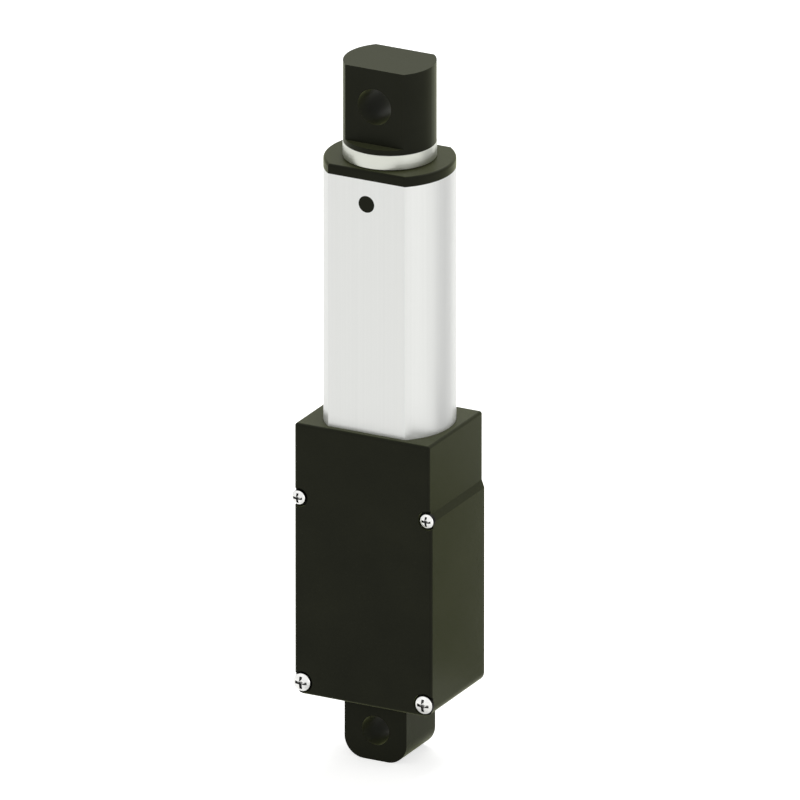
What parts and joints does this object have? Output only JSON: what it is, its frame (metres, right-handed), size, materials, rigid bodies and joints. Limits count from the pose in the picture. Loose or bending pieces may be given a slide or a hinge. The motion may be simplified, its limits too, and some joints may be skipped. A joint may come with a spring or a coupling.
{
  "type": "micro linear actuator",
  "caption": "Slim in-line electric actuator: a rod with a flat-sided eye slides from a double-D tube on a geared motor housing with a base lug.",
  "frame": {"origin": "centre of the hole through the base lug", "axes": "+Z along the rod towards the rod end, Y along both mounting holes with -Y the front face, X across"},
  "size_m": [0.0206, 0.0164, 0.0954],
  "materials": {
    "black_nylon": "moulded, fine matt",
    "tube_aluminium": "satin anodised",
    "rod_steel": "ground and satin",
    "plated_screw": "bright nickel plate",
    "black_eye": "moulded, fine matt",
    "rubber": "moulded",
    "bearing_steel": "ground",
    "bearing_block": "machined",
    "can_steel": "zinc plated",
    "motor_plastic": "moulded",
    "brass": "machined",
    "copper": "drawn wire",
    "magnet": "sintered ferrite",
    "gear_steel": "hobbed",
    "carrier_acetal": "moulded acetal",
    "circuit_board": "solder mask",
    "switch_plastic": "moulded"
  },
  "bodies": {
    "body": {"front_housing": "black_nylon", "rear_cover": "black_nylon", "upper_screws": "plated_screw", "lower_screws": "plated_screw", "cable_grommet": "rubber", "outer_tube": "tube_aluminium", "end_cap": "black_nylon", "wiper_seal": "rubber", "bearing_block": "bearing_block", "bearing_outer_race": "bearing_steel", "bearing_balls": "bearing_steel", "motor_can": "can_steel", "motor_end_cap": "motor_plastic", "motor_terminals": "brass", "motor_magnets": "magnet", "motor_brushes": "copper", "motor_bushes": "brass", "gearbox_base_plate": "brass", "gearbox_top_plate": "brass", "gearbox_pillars": "brass", "gear_axles": "gear_steel", "output_bush": "brass", "terminal_board": "circuit_board", "diodes": "switch_plastic", "switch_strip": "circuit_board", "lower_limit_switch": "switch_plastic", "upper_limit_switch": "switch_plastic"},
    "rod": {"rod": "rod_steel", "rod_collar": "rod_steel", "rod_end": "black_eye", "nut_carrier": "carrier_acetal", "drive_nut": "brass", "carrier_pins": "gear_steel"},
    "screw": {"lead_screw": "rod_steel", "bearing_inner_race": "bearing_steel", "shaft_coupling": "brass", "output_shaft": "gear_steel", "output_gear": "gear_steel"},
    "third_gear": {"third_gear": "brass"},
    "second_gear": {"second_gear": "brass"},
    "first_gear": {"first_gear": "brass"},
    "rotor": {"motor_shaft": "gear_steel", "motor_pinion": "brass", "armature_core": "magnet", "armature_windings": "copper", "commutator": "copper"}
  },
  "joints": [
    {"name": "rod_slide", "type": "slide", "parent": "body", "child": "rod", "axis": [0, 0, 1], "range_m": [0, 0.02]},
    {"name": "screw_spin", "type": "hinge", "parent": "body", "child": "screw", "pos_m": [0, 0, 0.02], "axis": [0, 0, 1], "range_deg": [-3600, 0]},
    {"name": "third_gear_spin", "type": "hinge", "parent": "body", "child": "third_gear", "pos_m": [-0.00324, 0, 0.02], "axis": [0, 0, 1], "range_deg": [0, 9360]},
    {"name": "second_gear_spin", "type": "hinge", "parent": "body", "child": "second_gear", "pos_m": [0, 0, 0.02], "axis": [0, 0, 1], "range_deg": [-24336, 0]},
    {"name": "first_gear_spin", "type": "hinge", "parent": "body", "child": "first_gear", "pos_m": [0.00324, 0, 0.02], "axis": [0, 0, 1], "range_deg": [0, 63273.6]},
    {"name": "motor_spin", "type": "hinge", "parent": "body", "child": "rotor", "pos_m": [0, 0, 0.02], "axis": [0, 0, 1], "range_deg": [-164511.36, 0]}
  ],
  "couplings": [
    {"joint": "screw_spin", "follows": "rod_slide", "rad_per_m": -3141.6},
    {"joint": "third_gear_spin", "follows": "rod_slide", "rad_per_m": 8168.1},
    {"joint": "second_gear_spin", "follows": "rod_slide", "rad_per_m": -21237},
    {"joint": "first_gear_spin", "follows": "rod_slide", "rad_per_m": 55217},
    {"joint": "motor_spin", "follows": "rod_slide", "rad_per_m": -143560}
  ]
}
